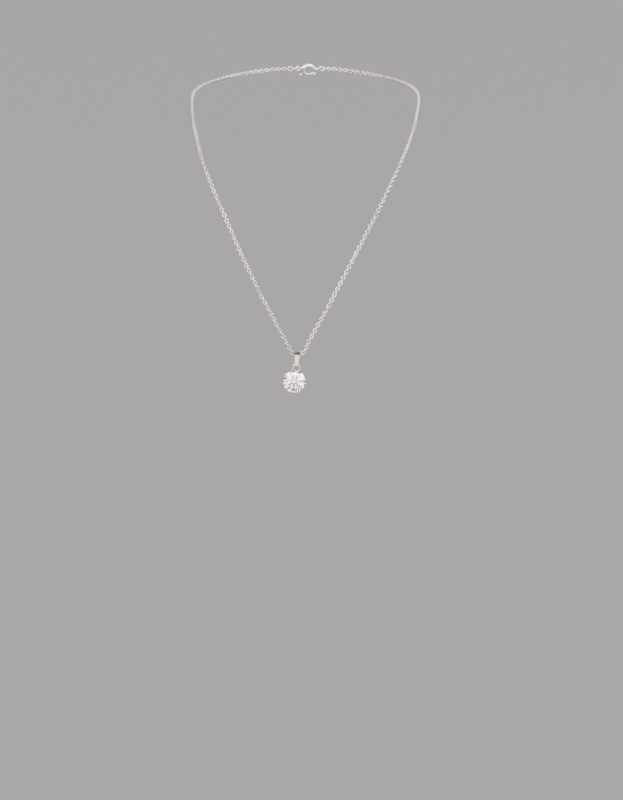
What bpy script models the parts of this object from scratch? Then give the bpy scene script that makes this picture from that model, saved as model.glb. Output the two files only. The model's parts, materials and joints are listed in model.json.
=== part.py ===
"""A pendant necklace as worn: a 43 cm cable chain round a neck, closed by a lobster clasp at the nape,
with a round brilliant stone in a six-prong setting hanging from a tapered bail in front.

Metres, +Z up. The wearer looks along -Y and the left side here is -X. The origin is the middle of the
neck opening, level with the two shoulder links that the front of the chain swings on.
"""

import math

import bmesh
import bpy
from mathutils import Matrix, Vector

MM = 0.001
AIR = 0.03 * MM  # gap between metal pieces that touch
RUN_GAP = 0.1 * MM  # gap between one stretch of chain and the next

# Cable chain: oval wire links, each turned a quarter from the last.
LINK_WIRE = 0.45 * MM
LINK_PITCH = 1.34 * MM
LINK_PLAY = 0.12 * MM
LINK_LENGTH = LINK_PITCH + 2 * LINK_WIRE + LINK_PLAY
LINK_WIDTH = 1.75 * MM
END_LINK_WIRE = 0.5 * MM
END_LINK_LENGTH = 3.0 * MM
END_LINK_WIDTH = 2.1 * MM
RUN_STEP = 2.5 * LINK_WIDTH  # spacing of the tube points along a stretch
NECK_RUNS = 4  # straightish stretches on each side of the neck
FRONT_RUNS = 5  # and down each side of the chest
BAIL_LINKS = 2  # modelled links each side of the one that the bail hangs on

# Where the chain lies, in millimetres. The neck's points are for the left side and are mirrored.
NECK_ROUTE = (
    (-15.5, 41.9, 9.9),
    (-25.1, 37.6, 8.9),
    (-35.6, 30.6, 7.3),
    (-43.6, 21.5, 5.3),
    (-48.6, 11.0, 3.1),
)
SHOULDER = (-50.2, 0.0, 0.0)
FRONT_LEFT_ROUTE = (
    (-49.8, -9.0, -4.7),
    (-48.3, -20.0, -11.6),
    (-44.9, -33.0, -22.9),
    (-40.6, -42.0, -33.1),
    (-32.8, -51.5, -49.6),
    (-23.0, -60.0, -70.2),
    (-13.2, -65.0, -88.6),
    (-7.3, -67.3, -99.2),
    (-5.4, -67.8, -102.4),
)
CHAIN_BOTTOM = (-3.6, -68.0, -103.2)
FRONT_RIGHT_ROUTE = (
    (-1.9, -67.8, -102.5),
    (1.6, -66.8, -96.6),
    (8.3, -64.2, -85.0),
    (16.9, -59.7, -69.3),
    (26.7, -52.5, -51.7),
    (35.5, -43.0, -35.4),
    (42.6, -32.0, -21.8),
    (46.9, -21.0, -12.3),
    (49.4, -8.5, -4.4),
)
NAPE_Y = 42.7 * MM
NAPE_Z = 10.3 * MM

# Bail: a tapered band, closed round the chain at its top and round the ring at its bottom.
BAIL_BAND = 0.35 * MM
BAIL_TOP_INSIDE = 1.4 * MM
BAIL_FOOT_INSIDE = 0.45 * MM
BAIL_DROP = 0.2 * MM  # the bail's top bend hangs this far under the middle of the chain
BAIL_REACH = 3.5 * MM  # from the centre of the top bend to that of the foot
BAIL_TOP_WIDTH = 2.2 * MM
BAIL_FOOT_WIDTH = 1.2 * MM
BAIL_SHOULDER = 0.6 * MM  # it tapers from this far above the middle of the chain
BAIL_EDGE = 0.07 * MM  # its rims are rounded this much
BAIL_LEAN = math.radians(4)

RING_RADIUS = 1.6 * MM  # to the middle of the wire
RING_WIRE = 0.55 * MM
RING_SLACK = 0.08 * MM  # it hangs clear of the bail's foot by this
RING_SEAM = math.radians(2.5)
RING_SEAM_AT = 20  # degrees round from its right side
NAPE_SEAM_AT = 70
RING_LEAN = math.radians(4)

# Round brilliant, as shares of the stone's radius.
STONE_RADIUS = 4.75 * MM
GIRDLE_HALF = 0.025
TABLE_RADIUS = 0.56
CROWN_ANGLE = math.radians(33.4)
PAVILION_ANGLE = math.radians(40.7)
STAR_SHARE = 0.5
LOWER_HALF_SHARE = 0.77
MAIN_FACETS = 8

PRONGS = 6
PRONG_RADIUS = 0.32 * MM
# Radius from the stone's axis and depth behind its girdle along one prong, in millimetres.
PRONG_LINE = (
    (2.1, 4.3),
    (3.5, 2.8),
    (4.45, 1.85),
    (4.76, 1.25),
    (4.87, 0.3),
    (4.9, -0.25),
    (4.7, -0.62),
    (4.36, -0.83),
)
PRONG_SWELL = (1, 1, 1, 1, 1, 1, 1.15, 1.3)
RAIL_POINT = 1  # the gallery rail crosses the prongs here
RAIL_WIRE = 0.5 * MM
BASE_WIRE = 0.8 * MM
BASE_FILED = 0.15 * MM  # filed off the back, so that it lies flat
HOOK_DEPTH = 1.25 * MM  # the ring hangs round the top prong this far behind the girdle
HOOK_RADIUS = 4.05 * MM
SEAT_SCALE = 1.006  # the prongs are cut to the stone, a hair larger

# Lobster clasp, in its own plane: u along it towards the claw, v towards its lever. It hangs on its
# line of pull with the lever underneath, where its weight keeps it.
BOSS_RADIUS = 1.35 * MM
BOSS_THICK = 2.2 * MM
BOSS_U = -2.6 * MM
PIVOT_U, PIVOT_V = -2.35 * MM, 0.25 * MM
HUB_RADIUS = 0.6 * MM
PIN_RADIUS = 0.3 * MM
PIN_HOLE = 0.34 * MM
PIN_PROUD = 0.08 * MM
LEVER_THICK = 0.84 * MM
SLOT_THICK = 1.0 * MM
SLOT_LOW = (-3.25 * MM, -0.68 * MM)  # its corners, as u and v
SLOT_HIGH = (-0.7 * MM, 2 * MM)
SPINE = (  # u, v and wire radius, in millimetres
    (-2.5, -0.55, 0.8),
    (-1.0, -1.65, 0.82),
    (0.8, -2.0, 0.78),
    (2.4, -1.75, 0.74),
    (3.6, -0.7, 0.66),
    (3.95, 0.45, 0.6),
    (3.55, 1.5, 0.5),
    (2.95, 1.95, 0.42),
)
LEVER_ARM = (
    (-2.35, 0.25, 0.4),
    (-1.3, 1.25, 0.4),
    (0.2, 1.75, 0.4),
    (1.6, 1.62, 0.38),
    (2.6, 1.15, 0.34),
)
THUMB_TAB = ((-2.2, 0.5, 0.34), (-2.75, 1.55, 0.34), (-3.35, 2.3, 0.42), (-3.6, 2.6, 0.4))
SPRING_LINE = (
    (-3.0, -0.52),
    (-2.0, -0.52),
    (-1.3, -0.48),
    (-0.95, -0.3),
    (-0.86, 0.0),
    (-1.0, 0.28),
    (-1.35, 0.4),
)
SPRING_WIRE = 0.18 * MM
EYE_RADIUS = 0.85 * MM
EYE_WIRE = 0.56 * MM
EYE_U = -4.5 * MM
PULL_V = -0.62 * MM  # the chain pulls along this line of the clasp
CLAW_INSIDE_U = 2.48 * MM  # inner face of the claw on that line
CLASP_RING_RADIUS = 1.3 * MM
CLASP_RING_WIRE = 0.56 * MM
CATCH_RING_RADIUS = 1.9 * MM
CATCH_RING_WIRE = 0.7 * MM

RHODIUM = ((0.80, 0.80, 0.82), 1.0, 0.18)
SPRING_STEEL = ((0.55, 0.55, 0.57), 1.0, 0.30)
ZIRCONIA = ((0.96, 0.97, 0.98), 0.0, 0.02)


def clear_scene():
    for obj in list(bpy.data.objects):
        bpy.data.objects.remove(obj, do_unlink=True)


def make_collection(name):
    collection = bpy.data.collections.new(name)
    bpy.context.scene.collection.children.link(collection)
    return collection


def make_material(name, look):
    color, metallic, roughness = look
    material = bpy.data.materials.new(name)
    material.use_nodes = True
    shader = material.node_tree.nodes["Principled BSDF"]
    shader.inputs["Base Color"].default_value = (*color, 1.0)
    shader.inputs["Metallic"].default_value = metallic
    shader.inputs["Roughness"].default_value = roughness
    material.diffuse_color = (*color, 1.0)
    return material


clear_scene()
necklace = make_collection("pendant_necklace")
cutters = make_collection("cutters")
rhodium = make_material("rhodium_plated_brass", RHODIUM)
steel = make_material("spring_steel", SPRING_STEEL)
zirconia = make_material("cubic_zirconia", ZIRCONIA)


def add_object(name, data, material, parent=None, place=None, collection=necklace):
    """A new object of this mesh or curve, at a place or matrix relative to its parent."""
    obj = bpy.data.objects.new(name, data)
    collection.objects.link(obj)
    if not data.materials:
        data.materials.append(material)
    obj.parent = parent
    if isinstance(place, Matrix):
        obj.matrix_local = place
    elif place is not None:
        obj.location = place
    return obj


def add_pivot(name, place, parent=None, turn=(0, 0, 0)):
    """An empty on a joint's axis. The pieces that move with the joint are its children."""
    empty = bpy.data.objects.new(name, None)
    empty.empty_display_size = 2 * MM
    necklace.objects.link(empty)
    empty.parent = parent
    empty.location = place
    empty.rotation_euler = turn
    return empty


def wire_curve(name, points, radius, swell=None, cyclic=False):
    """A round wire through these points. Swell gives each point's share of the radius."""
    curve = bpy.data.curves.new(name, "CURVE")
    curve.dimensions = "3D"
    curve.bevel_depth = radius
    curve.bevel_resolution = 2
    curve.use_fill_caps = not cyclic
    spline = curve.splines.new("POLY")
    spline.points.add(len(points) - 1)
    for point, place in zip(spline.points, points):
        point.co = (*place, 1.0)
    for point, share in zip(spline.points, swell or ()):
        point.radius = share
    spline.use_cyclic_u = cyclic
    return curve


def outline_curve(name, outlines, half_thickness):
    """Flat closed outlines in the XY plane, the later ones holes in the first, given a thickness."""
    curve = bpy.data.curves.new(name, "CURVE")
    curve.dimensions = "2D"
    curve.fill_mode = "BOTH"
    curve.extrude = half_thickness
    for outline in outlines:
        spline = curve.splines.new("POLY")
        spline.points.add(len(outline) - 1)
        for point, (x, y) in zip(spline.points, outline):
            point.co = (x, y, 0.0, 1.0)
        spline.use_cyclic_u = True
    return curve


def curve_to_mesh(obj):
    """Replaces a curve object by a closed mesh object of the same name and place."""
    bpy.context.view_layer.update()
    graph = bpy.context.evaluated_depsgraph_get()
    mesh = bpy.data.meshes.new_from_object(obj.evaluated_get(graph))
    bm = bmesh.new()
    bm.from_mesh(mesh)
    bmesh.ops.remove_doubles(bm, verts=bm.verts, dist=0.001 * MM)
    bmesh.ops.recalc_face_normals(bm, faces=bm.faces)
    bm.to_mesh(mesh)
    bm.free()
    name, parent, local, collection = obj.name, obj.parent, obj.matrix_local.copy(), obj.users_collection[0]
    bpy.data.objects.remove(obj)
    return add_object(name, mesh, rhodium, parent, local, collection)


def smooth(obj, angle=35):
    obj.data.shade_smooth()
    obj.data.set_sharp_from_angle(angle=math.radians(angle))
    return obj


def hide_cutter(obj):
    obj.hide_render = True
    obj.display_type = "WIRE"
    return obj


def boolean(obj, other, operation):
    """Joins or cuts obj by a helper, which stays in the cutters collection."""
    hide_cutter(other)
    modifier = obj.modifiers.new(other.name, "BOOLEAN")
    modifier.operation = operation
    modifier.object = other


def cylinder(name, radius, length, material, parent, place=None, collection=necklace):
    """A cylinder along Y."""
    bm = bmesh.new()
    bmesh.ops.create_cone(
        bm, cap_ends=True, segments=24, radius1=radius, radius2=radius, depth=length,
        matrix=Matrix.Rotation(math.pi / 2, 4, "X"),
    )
    mesh = bpy.data.meshes.new(name)
    bm.to_mesh(mesh)
    bm.free()
    return smooth(add_object(name, mesh, material, parent, place, collection))


def torus(name, radius, wire, parent, place, sides=(36, 10), collection=necklace):
    """A closed ring about the Y axis."""
    bpy.ops.mesh.primitive_torus_add(
        major_radius=radius, minor_radius=wire / 2, major_segments=sides[0], minor_segments=sides[1],
        rotation=(math.pi / 2, 0, 0),
    )
    made = bpy.context.object
    mesh = made.data
    mesh.transform(made.matrix_world)
    bpy.data.objects.remove(made)
    mesh.name = name
    return smooth(add_object(name, mesh, rhodium, parent, place, collection))


def box(name, low, high, parent):
    """A block to cut with, between two corners."""
    bm = bmesh.new()
    size = Vector(high) - Vector(low)
    middle = (Vector(high) + Vector(low)) / 2
    bmesh.ops.create_cube(bm, size=1, matrix=Matrix.Translation(middle) @ Matrix.Diagonal((*size, 1)))
    mesh = bpy.data.meshes.new(name)
    bm.to_mesh(mesh)
    bm.free()
    return add_object(name, mesh, rhodium, parent, None, cutters)


def arc(center, radius, start, end, steps):
    """Points of an arc in a plane, from one angle to the other, in degrees."""
    angles = [math.radians(start + (end - start) * i / steps) for i in range(steps + 1)]
    return [(center[0] + radius * math.cos(a), center[1] + radius * math.sin(a)) for a in angles]


class Route:
    """A smooth curve through hand-set points, read by the distance along it."""

    SPAN_STEPS = 24

    def __init__(self, points):
        slopes = [self.slope(points, i) for i in range(len(points))]
        self.places = [points[0]]
        for i in range(len(points) - 1):
            chord = (points[i + 1] - points[i]).length
            for step in range(1, self.SPAN_STEPS + 1):
                t = step / self.SPAN_STEPS
                self.places.append(
                    points[i] * (2 * t**3 - 3 * t**2 + 1)
                    + slopes[i] * chord * (t**3 - 2 * t**2 + t)
                    + points[i + 1] * (3 * t**2 - 2 * t**3)
                    + slopes[i + 1] * chord * (t**3 - t**2)
                )
        self.reach = [0.0]
        for before, after in zip(self.places, self.places[1:]):
            self.reach.append(self.reach[-1] + (after - before).length)
        self.marks = self.reach[:: self.SPAN_STEPS]

    @staticmethod
    def slope(points, i):
        """The direction of travel at a point, weighted to its nearer neighbour."""
        if i == 0 or i == len(points) - 1:
            a, b = (0, 1) if i == 0 else (-2, -1)
            return (points[b] - points[a]).normalized()
        back, ahead = points[i] - points[i - 1], points[i + 1] - points[i]
        near, far = back.length, ahead.length
        return (back * far / near + ahead * near / far) / (near + far)

    def place(self, distance):
        """The point this far along. Past either end it runs on straight."""
        i = 0
        while i < len(self.reach) - 2 and self.reach[i + 1] < distance:
            i += 1
        share = (distance - self.reach[i]) / (self.reach[i + 1] - self.reach[i])
        return self.places[i].lerp(self.places[i + 1], share)

    def link_frame(self, distance):
        """For the link that holds its neighbours half a pitch before and after this distance: its
        middle, and X along the chain, Y outwards from the neck and Z across."""
        before, after = self.place(distance - LINK_PITCH / 2), self.place(distance + LINK_PITCH / 2)
        along = (after - before).normalized()
        place = (before + after) / 2
        outwards = Vector((place.x, place.y, 0))
        outwards = (outwards - along * outwards.dot(along)).normalized()
        across = along.cross(outwards)
        turn = Matrix((along, outwards, across)).transposed()
        return Matrix.Translation(place) @ turn.to_4x4()


def from_mm(point):
    return Vector(point) * MM


def mirrored(point):
    return Vector((-point.x, point.y, point.z))


# How far a link's end wire lies from its middle, and from the wire of the link that it holds.
LINK_END = (LINK_LENGTH - LINK_WIRE) / 2
LINK_HOLD = LINK_WIRE + AIR


def nape_layout():
    """Where the pieces at the nape lie along the chain's line, as u on the clasp."""
    end_half = (END_LINK_LENGTH - END_LINK_WIRE) / 2
    eye_hole = EYE_RADIUS - EYE_WIRE / 2
    clasp_ring = EYE_U - (eye_hole - CLASP_RING_WIRE / 2 - AIR) - CLASP_RING_RADIUS
    left_hold = CLASP_RING_WIRE / 2 + END_LINK_WIRE / 2 + AIR
    end_left = clasp_ring - CLASP_RING_RADIUS + left_hold - end_half
    catch_ring = CLAW_INSIDE_U - CATCH_RING_WIRE / 2 - AIR + CATCH_RING_RADIUS
    right_hold = CATCH_RING_WIRE / 2 + END_LINK_WIRE / 2 + AIR
    end_right = catch_ring + CATCH_RING_RADIUS - right_hold + end_half
    first = end_half - END_LINK_WIRE / 2 - LINK_WIRE / 2 - LINK_PLAY + LINK_END
    chain_left, chain_right = end_left - first, end_right + first
    shift = -(chain_left + chain_right) / 2
    return {
        "shift": shift,
        "clasp_ring": clasp_ring + shift,
        "catch_ring": catch_ring + shift,
        "end_left": end_left + shift,
        "end_right": end_right + shift,
        "chain_start": chain_right + shift,
    }


nape = nape_layout()


def chain_route():
    """The whole route, from the first link left of the clasp round to the last one right of it."""
    start = Vector((-nape["chain_start"], NAPE_Y, NAPE_Z))
    neck = [start, *map(from_mm, NECK_ROUTE), from_mm(SHOULDER)]
    front = [*map(from_mm, FRONT_LEFT_ROUTE), from_mm(CHAIN_BOTTOM), *map(from_mm, FRONT_RIGHT_ROUTE)]
    back = [mirrored(p) for p in reversed(neck)]
    route = Route(neck + front + back)
    left, bottom = len(neck) - 1, len(neck) + len(FRONT_LEFT_ROUTE)
    right = len(neck) + len(front)
    return route, route.marks[left], route.marks[bottom], route.marks[right]


route, left_shoulder, chain_bottom, right_shoulder = chain_route()


def link_stations():
    """Every link's distance along the route, for the left neck, the two halves of the front and the
    right neck. The shoulder links hold each other on the wire that lies on the shoulder's axis."""
    neck_length = left_shoulder - LINK_END
    neck_count = 2 * round(neck_length / LINK_PITCH / 2)  # even, so that both neck ends lie alike
    neck_pitch = neck_length / neck_count
    neck_left = [i * neck_pitch for i in range(neck_count + 1)]
    neck_right = [route.reach[-1] - s for s in reversed(neck_left)]
    start = left_shoulder + LINK_END - LINK_HOLD
    end = right_shoulder - LINK_END + LINK_HOLD
    left_count = 2 * round((chain_bottom - start) / LINK_PITCH / 2)  # even again, for the bail's link
    right_count = 2 * round((end - chain_bottom) / LINK_PITCH / 2)
    left_pitch = (chain_bottom - start) / left_count
    right_pitch = (end - chain_bottom) / right_count
    front_left = [start + i * left_pitch for i in range(left_count + 1)]
    front_right = [chain_bottom + i * right_pitch for i in range(right_count + 1)]
    return neck_left, front_left, front_right, neck_right


def link_outline(length, width, wire, steps=6):
    """The middle of the wire of an oval link along X."""
    bend = (width - wire) / 2
    straight = (length - width) / 2
    ends = arc((straight, 0), bend, -90, 90, steps) + arc((-straight, 0), bend, 90, 270, steps)
    return [(x, y, 0.0) for x, y in ends]


def quarter_turn(turned):
    return Matrix.Rotation(math.pi / 2 if turned else 0.0, 4, "X")


def add_link(name, distance, turned, curve, parent):
    """A real link of the chain. Turned links lie across the neck's surface, the others stand on it."""
    local = parent.matrix_world.inverted() @ route.link_frame(distance) @ quarter_turn(turned)
    return add_object(name, curve, rhodium, parent, local)


def add_run(name, start, end, count, parent):
    """A stretch of chain as plain tubes of its outer width, one node for each straightish length."""
    whole = end - start
    each = (whole - RUN_GAP * (count - 1)) / count
    for i in range(count):
        first = start + i * (each + RUN_GAP)
        steps = max(2, round(each / RUN_STEP))
        places = [route.place(first + each * k / steps) - parent.location for k in range(steps + 1)]
        curve = wire_curve(f"{name}_{i + 1}", places, LINK_WIDTH / 2)
        add_object(f"{name}_{i + 1}", curve, rhodium, parent)


def build_chain(root, front):
    link = wire_curve("link", link_outline(LINK_LENGTH, LINK_WIDTH, LINK_WIRE), LINK_WIRE / 2, cyclic=True)
    neck_left, front_left, front_right, neck_right = link_stations()
    clear = LINK_LENGTH / 2 + RUN_GAP
    add_link("neck_link_left", neck_left[-1], False, link, root)
    add_link("neck_link_right", neck_right[0], False, link, root)
    add_link("front_link_left", front_left[0], True, link, front)
    add_link("front_link_right", front_right[-1], True, link, front)
    around = front_left[-1 - BAIL_LINKS :] + front_right[1 : 1 + BAIL_LINKS]
    for i, distance in enumerate(around):
        add_link(f"bail_link_{i + 1}", distance, (i - BAIL_LINKS) % 2 == 0, link, front)
    add_link("nape_link_left", neck_left[0], False, link, root)
    add_link("nape_link_right", neck_right[-1], False, link, root)
    add_run("neck_run_left", neck_left[0] + clear, neck_left[-1] - clear, NECK_RUNS, root)
    add_run("front_run_left", front_left[0] + clear, around[0] - clear, FRONT_RUNS, front)
    add_run("front_run_right", around[-1] + clear, front_right[-1] - clear, FRONT_RUNS, front)
    add_run("neck_run_right", neck_right[0] + clear, neck_right[-1] - clear, NECK_RUNS, root)


def bail_side(inside):
    """The bail's outline seen along X, as (z, y): its two bends and the straight sides between."""
    top, foot = BAIL_TOP_INSIDE + inside, BAIL_FOOT_INSIDE + inside
    tilt = math.degrees(math.asin((top - foot) / BAIL_REACH))
    bend = arc((-BAIL_DROP, 0), top, -90 - tilt, 90 + tilt, 20)
    return bend + arc((-BAIL_DROP - BAIL_REACH, 0), foot, 90 + tilt, 270 - tilt, 12)


def build_bail(parent):
    """A closed band of even thickness, trimmed to a taper seen from the front."""
    sides = outline_curve("bail", [bail_side(BAIL_BAND), bail_side(0.0)], BAIL_TOP_WIDTH)
    to_side = Matrix(((0, 0, 1, 0), (0, 1, 0, 0), (1, 0, 0, 0), (0, 0, 0, 1)))
    bail = curve_to_mesh(add_object("bail", sides, rhodium, parent, to_side))
    bail.data.transform(to_side)
    bail.data.flip_normals()  # the axis swap mirrors the outline
    bail.matrix_local = Matrix.Identity(4)
    top = BAIL_TOP_INSIDE + 2 * BAIL_BAND
    foot = -BAIL_DROP - BAIL_REACH - BAIL_FOOT_INSIDE - 2 * BAIL_BAND
    low, high = BAIL_FOOT_WIDTH / 2, BAIL_TOP_WIDTH / 2
    taper = outline_curve(
        "bail_taper",
        [[(-low, foot), (low, foot), (high, BAIL_SHOULDER), (high, top), (-high, top), (-high, BAIL_SHOULDER)]],
        3 * BAIL_TOP_INSIDE,
    )
    upright = Matrix.Rotation(math.pi / 2, 4, "X")
    trimmer = curve_to_mesh(add_object("bail_taper", taper, rhodium, parent, upright, cutters))
    boolean(bail, trimmer, "INTERSECT")
    bevel = bail.modifiers.new("soft_edges", "BEVEL")
    bevel.width = BAIL_EDGE
    bevel.segments = 2
    bevel.limit_method = "ANGLE"
    bevel.angle_limit = math.radians(50)
    return smooth(bail)


def split_ring(name, radius, wire, seam_at, parent, place, flat=False):
    """A jump ring bent from wire, with its seam left open by a hair. Flat ones lie about the Z axis."""
    half = math.degrees(RING_SEAM) / 2
    circle = arc((0, 0), radius, seam_at + half, seam_at + 360 - half, 30)
    points = [(a, b, 0.0) if flat else (a, 0.0, b) for a, b in circle]
    return add_object(name, wire_curve(name, points, wire / 2), rhodium, parent, place)


def cut_facet(bm, normal, distance):
    """Grinds away all of the stone beyond one plane and closes the cut as one facet."""
    faces = bm.faces[:] + bm.edges[:] + bm.verts[:]
    found = bmesh.ops.bisect_plane(
        bm, geom=faces, plane_co=normal * distance, plane_no=normal, clear_outer=True, dist=1e-6 * MM
    )
    rim = [e for e in found["geom_cut"] if isinstance(e, bmesh.types.BMEdge)]
    bmesh.ops.contextual_create(bm, geom=rim)


def facet_normal(angle, turn, up):
    """The way a facet faces, from its tilt out of the girdle's plane and its turn about the axis."""
    return Vector((math.sin(angle) * math.cos(turn), math.sin(angle) * math.sin(turn), up * math.cos(angle)))


def brilliant_rows():
    """Each row of facets as tilt, side, a point on its first facet, and the turns it is cut at.
    Neighbouring rows share corners, which gives every tilt but the two main ones."""
    step = math.tau / MAIN_FACETS
    half, quarter = step / 2, step / 4
    table_z = GIRDLE_HALF + (1 - TABLE_RADIUS) * math.tan(CROWN_ANGLE)
    table_edge = TABLE_RADIUS * math.cos(half)
    star_r = table_edge + STAR_SHARE * (1 - table_edge)
    star_z = GIRDLE_HALF + (1 - star_r * math.cos(half)) * math.tan(CROWN_ANGLE)
    star_angle = math.atan((table_z - star_z) / (star_r - table_edge))
    upper_angle = math.atan((star_z - GIRDLE_HALF) / ((1 - star_r) * math.cos(quarter)))
    low_r = 1 - LOWER_HALF_SHARE
    low_drop = (1 - low_r * math.cos(half)) * math.tan(PAVILION_ANGLE)
    lower_angle = math.atan(low_drop / ((1 - low_r) * math.cos(quarter)))
    mains = [i * step for i in range(MAIN_FACETS)]
    halves = [quarter + i * half for i in range(2 * MAIN_FACETS)]
    stars = [half + i * step for i in range(MAIN_FACETS)]
    rim, table_corner = (1, GIRDLE_HALF), (table_edge, table_z)
    near_rim = (math.cos(quarter), GIRDLE_HALF)
    return table_z, (
        (CROWN_ANGLE, 1, rim, mains),
        (upper_angle, 1, near_rim, halves),
        (star_angle, 1, table_corner, stars),
        (PAVILION_ANGLE, -1, rim, mains),
        (lower_angle, -1, near_rim, halves),
    )


def build_stone(parent, place):
    """Cut as a lapidary does: a round rough, then its table, then each row of facets."""
    table_z, rows = brilliant_rows()
    bm = bmesh.new()
    bmesh.ops.create_cone(bm, cap_ends=True, segments=4 * MAIN_FACETS, radius1=1, radius2=1, depth=3)
    cut_facet(bm, Vector((0, 0, 1)), table_z)
    for angle, up, (radius, height), turns in rows:
        distance = math.sin(angle) * radius + math.cos(angle) * height
        for turn in turns:
            cut_facet(bm, facet_normal(angle, turn, up), distance)
    bmesh.ops.dissolve_degenerate(bm, dist=1e-4, edges=bm.edges)
    bmesh.ops.scale(bm, vec=(STONE_RADIUS,) * 3, verts=bm.verts)
    bmesh.ops.rotate(bm, matrix=Matrix.Rotation(math.pi / 2, 3, "X"), verts=bm.verts)
    mesh = bpy.data.meshes.new("stone")
    bm.to_mesh(mesh)
    bm.free()
    return add_object("stone", mesh, zirconia, parent, place)


def prong_mesh(name, parent, place):
    """One prong in the plane x = 0, at the top of the setting."""
    points = [(0, y * MM, r * MM) for r, y in PRONG_LINE]
    curve = wire_curve(name, points, PRONG_RADIUS, PRONG_SWELL)
    return curve_to_mesh(add_object(name, curve, rhodium, parent, place, cutters))


def build_setting(parent, place, stone):
    """A cast head: a filed base ring, a gallery rail and six prongs, cut to seat the stone."""
    base_r, base_y = (value * MM for value in PRONG_LINE[0])
    rail_r, rail_y = (value * MM for value in PRONG_LINE[RAIL_POINT])
    setting = torus("setting", base_r, BASE_WIRE, parent, place)
    setting.data.transform(Matrix.Translation((0, base_y, 0)))
    rail = torus("rail", rail_r, RAIL_WIRE, parent, place, (36, 8), cutters)
    rail.data.transform(Matrix.Translation((0, rail_y, 0)))
    boolean(setting, rail, "UNION")
    for i in range(PRONGS):
        prong = prong_mesh(f"prong_{i + 1}", parent, place)
        prong.data.transform(Matrix.Rotation(i * math.tau / PRONGS, 4, "Y"))
        boolean(setting, prong, "UNION")
    seat = add_object("seat", stone.data.copy(), rhodium, parent, place, cutters)
    seat.data.transform(Matrix.Scale(SEAT_SCALE, 4))
    boolean(setting, seat, "DIFFERENCE")
    back = base_y + BASE_WIRE / 2 - BASE_FILED
    reach = 2 * base_r
    file = box("file", (-reach, back, -reach), (reach, back + reach, reach), parent)
    file.location = place
    boolean(setting, file, "DIFFERENCE")
    return smooth(setting)


def clasp_wire(name, line, parent):
    """A wire in the clasp's plane, from rows of u, v and radius, made a mesh to be joined."""
    points = [Vector((u, 0, v)) * MM for u, v, _ in line]
    path = Route(points)
    steps = 3 * (len(line) - 1)
    places = [path.place(path.reach[-1] * i / steps) for i in range(steps + 1)]
    swell = [radius_at(line, path, path.reach[-1] * i / steps) for i in range(steps + 1)]
    curve = wire_curve(name, places, MM, swell)
    return curve_to_mesh(add_object(name, curve, rhodium, parent, None, cutters))


def radius_at(line, path, distance):
    """The wire radius part way between two of a line's rows."""
    for i in range(len(line) - 1):
        if distance <= path.marks[i + 1] or i == len(line) - 2:
            share = (distance - path.marks[i]) / (path.marks[i + 1] - path.marks[i])
            return line[i][2] + (line[i + 1][2] - line[i][2]) * min(share, 1.0)


def build_clasp(parent, lever_pivot):
    """A cast body with a slotted boss, a lever on a pin, and the spring that shuts it."""
    body = cylinder("clasp_body", BOSS_RADIUS, BOSS_THICK, rhodium, parent)
    body.data.transform(Matrix.Translation((BOSS_U, 0, 0)))
    boolean(body, clasp_wire("spine", SPINE, parent), "UNION")
    eye = torus("eye", EYE_RADIUS, EYE_WIRE, parent, (EYE_U, 0, PULL_V), (24, 8), cutters)
    boolean(body, eye, "UNION")
    half = SLOT_THICK / 2
    slot = box("slot", (SLOT_LOW[0], -half, SLOT_LOW[1]), (SLOT_HIGH[0], half, SLOT_HIGH[1]), parent)
    boolean(body, slot, "DIFFERENCE")
    pivot = (PIVOT_U, 0, PIVOT_V)
    hole = cylinder("pin_hole", PIN_HOLE, 2 * BOSS_THICK, rhodium, parent, pivot, cutters)
    boolean(body, hole, "DIFFERENCE")
    smooth(body)

    lever = cylinder("clasp_lever", HUB_RADIUS, LEVER_THICK, rhodium, lever_pivot)
    for name, line in (("arm", LEVER_ARM), ("tab", THUMB_TAB)):
        wire = clasp_wire(name, line, parent)
        boolean(lever, wire, "UNION")
    boolean(lever, hole, "DIFFERENCE")
    smooth(lever)
    cylinder("clasp_pin", PIN_RADIUS, BOSS_THICK + 2 * PIN_PROUD, steel, parent, pivot)
    path = Route([Vector((u, 0, v)) * MM for u, v in SPRING_LINE])
    places = [path.place(path.reach[-1] * i / 14) for i in range(15)]
    add_object("clasp_spring", wire_curve("clasp_spring", places, SPRING_WIRE / 2), steel, parent)


def build_end_links(root):
    """The larger links that the clasp's rings go through, at the two ends of the chain."""
    outline = link_outline(END_LINK_LENGTH, END_LINK_WIDTH, END_LINK_WIRE)
    curve = wire_curve("end_link", outline, END_LINK_WIRE / 2, cyclic=True)
    for side in ("left", "right"):
        place = Vector((nape[f"end_{side}"], NAPE_Y, NAPE_Z))
        upright = Matrix.Translation(place) @ quarter_turn(True)
        add_object(f"end_link_{side}", curve, rhodium, root, upright)


root = add_pivot("neck_chain", (0, 0, 0))
front = add_pivot("front_pivot", (0, 0, 0), root)
bail_pivot = add_pivot("bail_pivot", from_mm(CHAIN_BOTTOM), front, (0, BAIL_LEAN, 0))
ring_drop = RING_RADIUS - math.sqrt(RING_RADIUS**2 - (BAIL_FOOT_WIDTH / 2) ** 2)
ring_top = RING_WIRE / 2 + ring_drop + RING_SLACK - BAIL_DROP - BAIL_REACH - BAIL_FOOT_INSIDE
ring_pivot = add_pivot("ring_pivot", (0, 0, ring_top - RING_RADIUS), bail_pivot, (0, RING_LEAN, 0))
head_pivot = add_pivot("head_pivot", (0, 0, -RING_RADIUS), ring_pivot)
clasp_line = Vector((0, NAPE_Y, NAPE_Z))
clasp_pivot = add_pivot("clasp_pivot", clasp_line, root)
clasp_frame = add_pivot("clasp_frame", (nape["shift"], 0, PULL_V), clasp_pivot, (math.pi, 0, 0))
lever_pivot = add_pivot("lever_pivot", (PIVOT_U, 0, PIVOT_V), clasp_frame)
clasp_ring_pivot = add_pivot("clasp_ring_pivot", clasp_line, root)
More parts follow.
